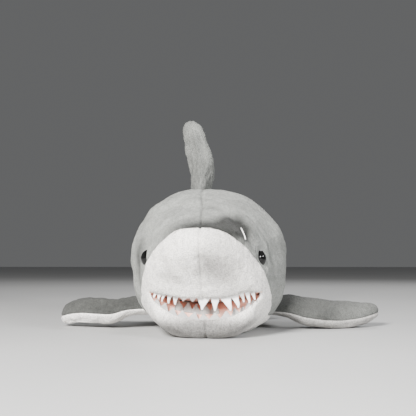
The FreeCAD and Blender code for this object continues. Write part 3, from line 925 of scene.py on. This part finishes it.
def mouth():
    """The pocket's roof and floor, and the three strips of teeth."""
    lining("lining_roof", True)
    lining("lining_floor", False)
    teeth_piece("teeth_upper", "upper_teeth", upper_teeth(), WHITE_FELT)
    front = lower_teeth(LOWER_GAPS, 0.0, 0.0, LOWER_BAND, LOWER_TALL, 300)
    teeth_piece("teeth_lower_front", "lower_teeth_front", front, SHADED_WHITE_FELT)
    inner = lower_teeth(INNER_GAPS, INNER_SETBACK, INNER_RISE, INNER_BAND, INNER_TALL, 400)
    teeth_piece("teeth_lower_inner", "lower_teeth_back", inner, SHADED_WHITE_FELT)


# ---------------------------------------------------------------- eyes
def eye_profile():
    """From the stem's end round the rim and over the dome."""
    stem = [(1.0, -12.5), (2.4, -12.0), (2.0, -11.0), (2.0, -0.6)]
    profile = [*stem, (5.6, -0.6), (EYE_R, -0.1), (EYE_R, 0.7)]
    for a in np.linspace(0, math.pi / 2, 17)[1:]:
        profile.append((EYE_R * math.cos(a) + 0.02, 0.7 + EYE_DOME * math.sin(a)))
    return profile


def eyes():
    """The safety eyes, pressed into the skin. Their washers are the CAD's, in their own plastic."""
    for name, side in (("left", 1.0), ("right", -1.0)):
        centre = (EYE_POINT - EYE_OUT * EYE_DEEP) * (side, 1, 1)
        points, faces = turned(eye_profile(), centre, EYE_OUT * (side, 1, 1))
        points = lean(np.array(points))
        piece = mesh_piece(f"eye_{name}_button", points, faces, EYE_BLACK)
        on_trunk(piece, f"eye_{name}")
        washer = frame["nodes"][f"eye_washer_{name}"].data
        washer.materials.clear()
        washer.materials.append(WASHER)


# ---------------------------------------------------------------- filling
FILL_INSET = 5.5
FIN_FILL_INSET = 4.8
TAIL_FILL_INSET = 4.2
POCKET_ROOM = 4.0  # between the mouth's pocket and the filling


def body_filling():
    """The fibre inside the skin, drawn in from it, with room for the mouth's pocket."""
    behind = row_places(14.0, BODY_END - 8.0, 0.16)
    x, z = rings(behind)
    every = slice(None, None, 6)
    ring = np.stack([x[:, every], 0 * x[:, every] + (SNOUT_Y + behind)[:, None], z[:, every]], axis=2)
    other = ring[:, -2:0:-1] * (-1, 1, 1)
    grid = np.concatenate([ring, other], axis=1)
    centre = grid.mean(axis=1, keepdims=True)
    way = grid - centre
    size = np.linalg.norm(way, axis=2, keepdims=True)
    grid = centre + way * np.maximum(size - FILL_INSET, 1.0) / size
    grid += 0.5 * waves(grid.reshape(-1, 3), 12, 31).reshape(grid.shape[:2])[..., None]
    low = (grid[..., 2] < 40) & (np.abs(grid[..., 0]) < MOUTH_HALF + 6)
    grid[..., 1] = np.where(low, np.maximum(grid[..., 1], POCKET_BACK_Y + POCKET_ROOM), grid[..., 1])
    piece = mesh_piece("body_fibre", *closed_loop(lean(grid)), FIBRE)
    stuffed_piece(piece, ("trunk_filling", "tail_filling"), "fibre_filling", FULL_BODY, *body_bend())


# ---------------------------------------------------------------- fins
# Each row: out along the fin, back along the root, bend across, twist in degrees, half chord, half thickness.
# The first rows are inside the body, where the fin's root is sewn in.
PECTORAL_LEFT = np.array([
    (-19, 0, -0.5, 11, 21, 6),
    (-8, 0, -0.6, 11, 22.5, 7.5),
    (-2, 0, -1.2, 11, 23.5, 8.8),
    (8, 1.5, -3.8, 11, 24.5, 10.4),
    (23, 4, -6.8, 10.5, 23.5, 11.2),
    (38, 7, -8.4, 10, 21.5, 11),
    (53, 10.5, -8.6, 8, 18, 10.2),
    (64, 13.5, -7.8, 6, 13.5, 8.4),
    (71, 15.5, -6.8, 5, 8, 5.4),
    (74, 16.5, -6.5, 5, 0, 0),
])
PECTORAL_RIGHT = np.array([
    (-19, 0, -1.5, 4, 21, 6),
    (-8, 0, -1.7, 4, 22.5, 7.5),
    (-2, 0, -2.2, 4.5, 23.5, 8.6),
    (8, 1.5, -4.8, 4.5, 24.5, 10.2),
    (20, 3.5, -5.2, 4.5, 23.5, 10.9),
    (34, 6, -5, 4.5, 21, 10.9),
    (45, 9, -6.4, 4, 17.5, 10.2),
    (52.5, 11.5, -8.6, 3, 13, 8.8),
    (56.5, 13, -10, 2, 8, 6),
    (58.5, 14, -10.4, 2, 0, 0),
])
DORSAL = np.array([
    (-9, 0, -8.3, 0, 27, 7),
    (0, 0, -8.3, 0, 26.5, 8.4),
    (8, 2, -8.2, 0, 24.5, 9.8),
    (22.5, 4, -7.8, 0, 21, 11.9),
    (37, 6, -9.5, 0, 18, 12.5),
    (52, 8, -12.4, 0, 15.3, 12),
    (65, 9.5, -15.8, 0, 12.8, 10.9),
    (75, 10.5, -17.8, 0, 9, 8.6),
    (80, 10.8, -18.3, 0, 5, 5),
    (82, 11, -18.4, 0, 0, 0),
])
SECOND_DORSAL = np.array([
    (-5, 0, 0, 0, 10, 2.8),
    (0, 0.5, 0.2, 0, 9.6, 3.6),
    (6, 3.5, 0.6, 2, 7.8, 4),
    (12, 7, 0.8, 3, 5, 3.2),
    (15.5, 9.2, 0.8, 3, 2.6, 1.9),
    (17, 10.2, 0.8, 3, 0, 0),
])
ANAL = np.array([
    (-5, 0, 0, 0, 8.4, 2.6),
    (0, 0.5, -0.2, 0, 8, 3.2),
    (5, 3, -0.4, -2, 6.6, 3.5),
    (10, 5.6, -0.6, -3, 4.4, 2.9),
    (13.6, 7.8, -0.6, -3, 2.2, 1.7),
    (15, 8.6, -0.6, -3, 0, 0),
])
PELVIC = np.array([
    (-6, 0, 0, 0, 12.5, 2.6),
    (0, 0, -0.4, 1, 13, 3.6),
    (7, 2, -2.2, 2, 11.5, 4.2),
    (14, 5.2, -4.2, 2, 8.8, 3.9),
    (20, 8.2, -5.6, 2, 5.4, 2.8),
    (23.5, 10, -6.2, 2, 0, 0),
])
SECTION_POINTS = 44  # round a fin's section, and four times as many in its finished skin
FINE_POINTS = 4 * SECTION_POINTS
FINE_ROWS = 96
MIDDLE_ROWS = slice(30, 60)  # rows that say which way a panel faces
EDGE_SHARPNESS = 0.58  # 0.5 is an ellipse; more is leaner towards the seam
UNSTUFFED = 0.93  # a fin's thickness before the air pressure, as a share of the table's
CLOTH_FRAMES = 20
HELD_ROWS = 3
ROOT_INSIDE, ROOT_OUTSIDE = 3.0, 12.0  # places handed to a fin's pieces: this far inside its root and this far outside


def lens(angle):
    """Half thickness round a fin's section, from seam to seam and back, as a share of the greatest."""
    return np.sign(np.sin(angle)) * np.abs(np.sin(angle)) ** (2 * EDGE_SHARPNESS)


def rib_points(table, rows, root, axes, shrink=0.0):
    """Points (rows, loop, 3) of a fin: each row goes round a section, one panel and then the other."""
    out_axis, chord_axis, across_axis = (np.array(a, float) for a in axes)
    near = np.sqrt(table[-1, 0] - table[::-1, 0])
    place = np.linspace(near[-1], 0, rows)
    values = curve_at(place, near, table[::-1])
    out, back, bend_by, twist, chord, thick = values.T
    out = table[-1, 0] - place**2
    chord = np.maximum(chord - shrink, 0) * (place > 0)
    thick = np.maximum(thick - shrink * 0.8, 0) * (place > 0)
    angle = np.linspace(0, FULL_TURN, SECTION_POINTS, endpoint=False)[None, :]
    along = -chord[:, None] * np.cos(angle)
    fuller_in_front = 1.0 + 0.12 * np.cos(angle)
    away = thick[:, None] * lens(angle) * fuller_in_front
    turn = np.radians(twist)[:, None]
    c = back[:, None] + along * np.cos(turn) - away * np.sin(turn)
    a = bend_by[:, None] + along * np.sin(turn) + away * np.cos(turn)
    o = np.broadcast_to(out[:, None], c.shape)
    return root + o[..., None] * out_axis + c[..., None] * chord_axis + a[..., None] * across_axis


def loop_normals(loop):
    """Outward normals of a closed loop grid, and the tip's own direction at its last row."""
    down = np.roll(loop, -1, axis=1) - np.roll(loop, 1, axis=1)
    back = np.gradient(loop, axis=0)
    normal = np.cross(down, back)
    size = np.linalg.norm(normal, axis=2, keepdims=True)
    normal = normal / np.maximum(size, 1e-9)
    middle = loop.mean(axis=1, keepdims=True)
    inward = ((loop[1:-2] - middle[1:-2]) * normal[1:-2]).sum() < 0
    if inward:
        normal = -normal
    tip = (middle[-1] - middle[-3])[0]
    normal[-1] = tip / np.linalg.norm(tip)
    return normal


def stuffed(loop, cap):
    """The loop grid blown up as cloth by air pressure, its root held; the move is limited to cap."""
    rows, count = loop.shape[:2]
    start, faces = closed_loop(loop[:-1])
    bag = mesh_piece("bag", start, faces, WHITE_PLUSH)
    held = bag.vertex_groups.new(name="held")
    held.add(list(range(HELD_ROWS * count)), 1.0, "REPLACE")
    cloth = bag.modifiers.new("cloth", "CLOTH")
    settings = cloth.settings
    settings.use_pressure = True
    settings.uniform_pressure_force = 4.0
    settings.quality = 6
    settings.mass = 0.1
    settings.tension_stiffness = 12.0
    settings.compression_stiffness = 4.0
    settings.shear_stiffness = 4.0
    settings.bending_stiffness = 0.05
    settings.vertex_group_mass = "held"
    settings.effector_weights.gravity = 0.0
    cloth.point_cache.frame_start = 1
    cloth.point_cache.frame_end = CLOTH_FRAMES
    scene = bpy.context.scene
    for number in range(1, CLOTH_FRAMES + 1):
        scene.frame_set(number)
    view = bpy.context.evaluated_depsgraph_get()
    mesh = bag.evaluated_get(view).data
    end = np.zeros(len(mesh.vertices) * 3)
    mesh.vertices.foreach_get("co", end)
    move = end.reshape(-1, 3) / MM - start
    size = np.linalg.norm(move, axis=1, keepdims=True)
    move *= cap * np.tanh(size / cap) / np.maximum(size, 1e-9)
    scene.frame_set(1)
    bpy.data.objects.remove(bag)
    moved = loop.copy()
    moved[:-1] += move.reshape(rows - 1, count, 3)
    moved[-1] = moved[-2].mean(axis=0) + (loop[-1] - loop[-2].mean(axis=0))
    return moved


def refined(loop, rows, columns):
    """A loop grid with more rows and columns, through smooth curves."""
    count = loop.shape[1]
    wrapped = np.concatenate([loop[:, -2:], loop, loop[:, :3]], axis=1)
    xs = np.arange(-2.0, count + 3.0)
    want = np.linspace(0, count, columns, endpoint=False)
    wide = np.moveaxis(wrapped, 1, 0).reshape(len(xs), -1)
    fine = curve_at(want, xs, wide).reshape(columns, loop.shape[0], 3)
    tall = np.moveaxis(fine, 1, 0).reshape(loop.shape[0], -1)
    fine = curve_at(np.linspace(0, loop.shape[0] - 1, rows), np.arange(loop.shape[0]) * 1.0, tall)
    return fine.reshape(rows, columns, 3)


# Painted shade on a fin's two panels, near the body and at the tip, as the share of the plush's colour kept.
FIN_PAINTED_SHADE = ((0.75, 0.85), (0.75, 0.85))
DORSAL_PAINTED_SHADE = ((0.60, 0.78), (0.55, 0.72))
PECTORAL_PAINTED_SHADE = {"left": ((0.24, 0.55), (0.38, 0.5)), "right": ((0.22, 0.25), (1.0, 1.0))}


def fin_relief(loop, seed, fine=1.0):
    """Uneven filling, a sunk seam with puckers along both edges, and creases where the root is gathered."""
    normal = loop_normals(loop)
    count = loop.shape[1]
    flat = loop.reshape(-1, 3)
    height = 0.5 * waves(flat, 9, seed) + 0.2 * waves(flat, 3.6, seed + 1) + 0.1 * waves(flat, 1.8, seed + 2)
    seam = np.concatenate([loop[:, 0], loop[:, count // 2]])
    gap, index = nearest(flat, seam)
    pucker = 0.5 + 0.5 * np.sin(index * 0.5 + 2 * waves(flat, 8, seed + 3))
    height = height.reshape(loop.shape[:2]) * smoothstep(gap, 0, 6).reshape(loop.shape[:2])
    groove = 0.6 * np.exp(-((gap / 0.9) ** 2)) + 0.3 * pucker * np.exp(-gap / 3.0)
    height -= groove.reshape(loop.shape[:2])
    moved = loop + normal * (fine * height)[..., None]
    return on_table(moved)


def two_panels(skin):
    """A fin's skin cut along its two seams."""
    half = skin.shape[1] // 2
    wrapped = np.concatenate([skin, skin[:, :1]], axis=1)
    return wrapped[:, :half + 1], wrapped[:, half:]


# A fin's two panels: how their names are formed, and their slots.
TOP_AND_UNDER = (("top_{}", "grey_plush"), ("under_{}", "white_plush"))
LEFT_AND_RIGHT = (("{}_left", "grey_plush"), ("{}_right", "grey_plush"))


def fin_pieces(fin, swing, parent, table, axes, panels, cap, fine=1.0, painted_shade=FIN_PAINTED_SHADE, filled=False):
    """The two panels of a fin, and its filling."""
    root = frame_joint(f"{fin}_{swing}")
    out = np.array(axes[0])
    coarse = rib_points(table * (1, 1, 1, 1, 1, UNSTUFFED), 30, root, axes)
    seed = 7 * len(f"{fin}_{panels[0][0].format('skin')}")
    skin = fin_relief(refined(stuffed(coarse, cap), FINE_ROWS, FINE_POINTS), seed, fine)
    middle = skin.mean(axis=(0, 1))
    bodies = (parent, fin)
    start, end = root - out * ROOT_INSIDE, root + out * min(ROOT_OUTSIDE, table[-1, 0] * 0.5)
    for (pattern, slot), grid, (inner_shade, tip_shade) in zip(panels, two_panels(skin), painted_shade):
        material = WHITE_PLUSH if slot == "white_plush" else GREY_PLUSH
        share = ((grid - root) @ out) / table[-1, 0]
        # Painted shade, from its value near the body to its value at the tip.
        fin_shade = inner_shade + (tip_shade - inner_shade) * smoothstep(share, 0.2, 1.0)
        normal = grid_normals(grid)[MIDDLE_ROWS].mean(axis=(0, 1))
        flip = ((grid[MIDDLE_ROWS].mean(axis=(0, 1)) - middle) * normal).sum() < 0
        name, node = (f"{fin}_{pattern.format(word)}" for word in ("skin", "panel"))
        piece = grid_piece(name, grid, material, flip=bool(flip), painted_shade=fin_shade)
        stuffed_piece(piece, (node,), slot, FULL_FIN, bodies, start, end)
    if filled:
        inner = rib_points(table[1:-1], 24, root, axes, shrink=FIN_FILL_INSET)
        piece = mesh_piece(f"{fin}_fibre", *closed_loop(inner), FIBRE)
        stuffed_piece(piece, (f"{fin}_filling",), "fibre_filling", FULL_FIN, bodies, start, end)


def leaning(degrees, up=1.0):
    """A fin's axes in the middle plane: out of the body, along its root and across, leaning by an angle."""
    turn = math.radians(degrees)
    out = (0.0, -math.sin(turn) * up, math.cos(turn) * up)
    return out, (0.0, math.cos(turn), math.sin(turn)), (1, 0, 0)


def fins():
    """Every fin but the tail's. The small ones have no filling of their own."""
    for name, side, table in (("left", 1.0, PECTORAL_LEFT), ("right", -1.0, PECTORAL_RIGHT)):
        axes = ((side, 0, 0), (0, 1, 0), (0, 0, 1))
        fin, painted_shade = f"pectoral_{name}", PECTORAL_PAINTED_SHADE[name]
        fin_pieces(fin, "flap", "trunk", table, axes, TOP_AND_UNDER, 2.2, painted_shade=painted_shade, filled=True)
        fin_pieces(f"pelvic_{name}", "flap", "trunk", PELVIC, axes, TOP_AND_UNDER, 1.0, 0.6)
    axes = leaning(-16.0)
    fin_pieces("dorsal", "lean", "trunk", DORSAL, axes, LEFT_AND_RIGHT, 2.2, painted_shade=DORSAL_PAINTED_SHADE, filled=True)
    fin_pieces("second_dorsal", "lean", "tail", SECOND_DORSAL, leaning(-13.0), LEFT_AND_RIGHT, 0.8, 0.6)
    fin_pieces("anal_fin", "lean", "tail", ANAL, leaning(13.0, up=-1.0), LEFT_AND_RIGHT, 0.8, 0.6)


# The tail fin's outline, as (behind, height) pairs from the upper tip to the lower one.
TAIL_FRONT = np.array([
    (386, 121.5), (379, 113), (366, 97), (352, 80), (341, 66), (335, 56), (333.5, 48),
    (335, 40), (342, 30), (352, 19.5), (364, 11), (372, 7.6),
])
TAIL_REAR = np.array([
    (386, 121.5), (389.5, 112), (386, 97), (380, 80), (375, 66), (372, 56), (371, 48),
    (372, 40), (375.5, 30), (379, 19.5), (379.5, 11), (372, 7.6),
])
TAIL_THICK = np.array([0, 3.6, 5.8, 7.6, 8.8, 9.6, 9.8, 9.4, 8.2, 6.6, 4.2, 0])
CUFF = (316.0, 352.0)
STEM_END = 344.0
STEM_MIDDLE_Z = 48.0
TAIL_ROWS = 150
TAIL_FIN_BEND = (12.0, 14.0)  # ahead of its joint and behind it


def tail_loop(shrink=0.0):
    """The tail fin as a loop grid: rows from the upper tip to the lower one, each going round a section."""
    place = np.linspace(0, 1, 34)
    xs = np.linspace(0, 1, len(TAIL_THICK))
    spaced = (1 - np.cos(math.pi * place)) / 2
    front, rear = curve_at(spaced, xs, TAIL_FRONT), curve_at(spaced, xs, TAIL_REAR)
    thick = curve_at(spaced, xs, TAIL_THICK[:, None])[:, 0]
    thick = np.maximum(thick - shrink * 0.8, 0.05)
    centre, reach = (front + rear) / 2, (rear - front) / 2
    size = np.linalg.norm(reach, axis=1, keepdims=True)
    reach = reach * np.maximum(size - shrink, 0.05) / np.maximum(size, 1e-6)
    angle = np.linspace(0, FULL_TURN, SECTION_POINTS, endpoint=False)[None, :]
    loop = np.zeros((len(place), angle.shape[1], 3))
    flat = centre[:, None, :] - reach[:, None, :] * np.cos(angle)[..., None]
    loop[..., 0] = thick[:, None] * lens(angle)
    loop[..., 1] = SNOUT_Y + flat[..., 0]
    loop[..., 2] = flat[..., 1]
    return loop


def cuff_grid(side):
    """Half of the tube that joins the tail fin to the stem, a little outside the stem's skin."""
    behind = np.linspace(*CUFF, 40)
    x, z = (part[:, ::5] for part in rings(np.minimum(behind, STEM_END)))
    shrink = 1.0 - 0.5 * smoothstep(behind, 336.0, 352.0)[:, None]
    over = (0.6 + 0.5 * np.sin(math.pi * np.clip((behind - CUFF[0]) / 12.0, 0, 1)))[:, None]
    over = over * smoothstep(behind, CUFF[0], CUFF[0] + 2.0)[:, None]
    over = over - 0.3 * (behind[:, None] < CUFF[0] + 1.5)
    grid = np.zeros((*x.shape, 3))
    grid[..., 0] = x * shrink
    grid[..., 2] = STEM_MIDDLE_Z + (z - STEM_MIDDLE_Z) * shrink
    grid[..., 1] = (SNOUT_Y + behind)[:, None]
    normal = grid_normals(grid)
    grid += normal * over[..., None]
    grid += normal * (0.25 * waves(grid.reshape(-1, 3), 5, 77).reshape(grid.shape[:2]))[..., None]
    grid[..., 0] *= side
    return grid


def tail_fin():
    """The tail fin's two panels with its cuff, and its filling."""
    skin = fin_relief(refined(tail_loop(), TAIL_ROWS, FINE_POINTS), 55)
    place = frame_joint("tail_fin_sway")
    bending = ("tail", "tail_fin"), place - (0, TAIL_FIN_BEND[0], 0), place + (0, TAIL_FIN_BEND[1], 0)
    for (name, side), grid in zip((("left", 1.0), ("right", -1.0)), two_panels(skin)):
        parts = []
        for some in (grid, cuff_grid(side)):
            facing = grid_normals(some)[10:30, 5:-5, 0].mean() * side
            parts.append((some.reshape(-1, 3), grid_faces(*some.shape[:2], facing < 0)))
        piece = mesh_piece(f"tail_fin_skin_{name}", *joined(parts), GREY_PLUSH)
        # The tail fin's panels get the fins' painted shade, the same all over.
        store_painted_shade(piece, np.full(len(piece.data.vertices), FIN_PAINTED_SHADE[0][0]))
        stuffed_piece(piece, (f"tail_fin_panel_{name}",), "grey_plush", FULL_FIN, *bending)
    piece = mesh_piece("tail_fin_fibre", *closed_loop(tail_loop(TAIL_FILL_INSET)), FIBRE)
    stuffed_piece(piece, ("tail_fin_filling",), "fibre_filling", FULL_FIN, *bending)


# ---------------------------------------------------------------- the loose thread
THREAD_R = 0.36


def loose_thread():
    """A thread end that has worked out of the colour seam above the shark's left eye."""
    places = [skin_point(behind, z) for behind, z in ((23.0, 69.0), (25.5, 71.8), (28.0, 74.6), (31.0, 77.2))]
    path = np.array([point - 0.6 * out for point, out in places])
    path += (0, -0.9, 0)
    piece = mesh_piece("loose_thread", *tube(path, THREAD_R), WHITE_FELT)
    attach(piece, "trunk")


# ---------------------------------------------------------------- light, floor and camera
FLOOR_HALF = 6.0  # metres
SENSOR = 36.0  # millimetres
FOCAL_PIXELS, PHOTO_PIXELS = 735.0, 416.0
CAMERA_PLACE = (0.0314, -0.629, 0.054)
CAMERA_UP, CAMERA_TURN = 4.12, 3.0  # degrees


def area_light(name, place, aim, size, power, colour=(1, 1, 1)):
    data = bpy.data.lights.new(name, "AREA")
    data.shape = "DISK"
    data.size = size
    data.energy = power
    data.color = colour
    lamp = bpy.data.objects.new(name, data)
    bpy.context.scene.collection.objects.link(lamp)
    lamp.location = place
    lamp.rotation_mode = "QUATERNION"
    lamp.rotation_quaternion = (Vector(aim) - Vector(place)).to_track_quat("-Z", "Y")


def studio():
    """A pale table top, a weak even light, a key light from the upper left of the picture, weak fill and side
    lights from its right, and a rim light from behind."""
    points = np.array([(-1, -1, 0), (1, -1, 0), (1, 1, 0), (-1, 1, 0)]) * FLOOR_HALF
    floor = mesh_piece("floor", points / MM, [(0, 1, 2, 3)], table_top())
    world = bpy.data.worlds.new("studio")
    bpy.context.scene.world = world
    world.use_nodes = True
    background = world.node_tree.nodes["Background"]
    background.inputs["Color"].default_value = (0.72, 0.73, 0.74, 1)
    background.inputs["Strength"].default_value = 0.18
    area_light("key", (-0.32, -1.0, 0.52), (0, -0.05, 0.05), 0.3, 52, (1, 0.985, 0.965))
    area_light("fill", (0.62, -0.72, 0.35), (0, -0.05, 0.05), 0.16, 9, (0.97, 0.98, 1))
    area_light("side", (0.95, 0.0, 0.36), (0, -0.1, 0.05), 0.08, 1.6)
    area_light("rim", (0.25, 0.9, 0.9), (0, 0, 0.06), 0.6, 7)


def camera():
    """Low in front of the snout, a little to the shark's left."""
    data = bpy.data.cameras.new("camera")
    data.sensor_width = SENSOR
    data.lens = SENSOR * FOCAL_PIXELS / PHOTO_PIXELS
    view = bpy.data.objects.new("camera", data)
    bpy.context.scene.collection.objects.link(view)
    view.location = CAMERA_PLACE
    view.rotation_euler = (math.radians(90 + CAMERA_UP), 0, math.radians(CAMERA_TURN))
    data.clip_start = 0.01
    bpy.context.scene.camera = view


body_panels()
mouth()
eyes()
loose_thread()
body_filling()
fins()
tail_fin()
studio()
camera()
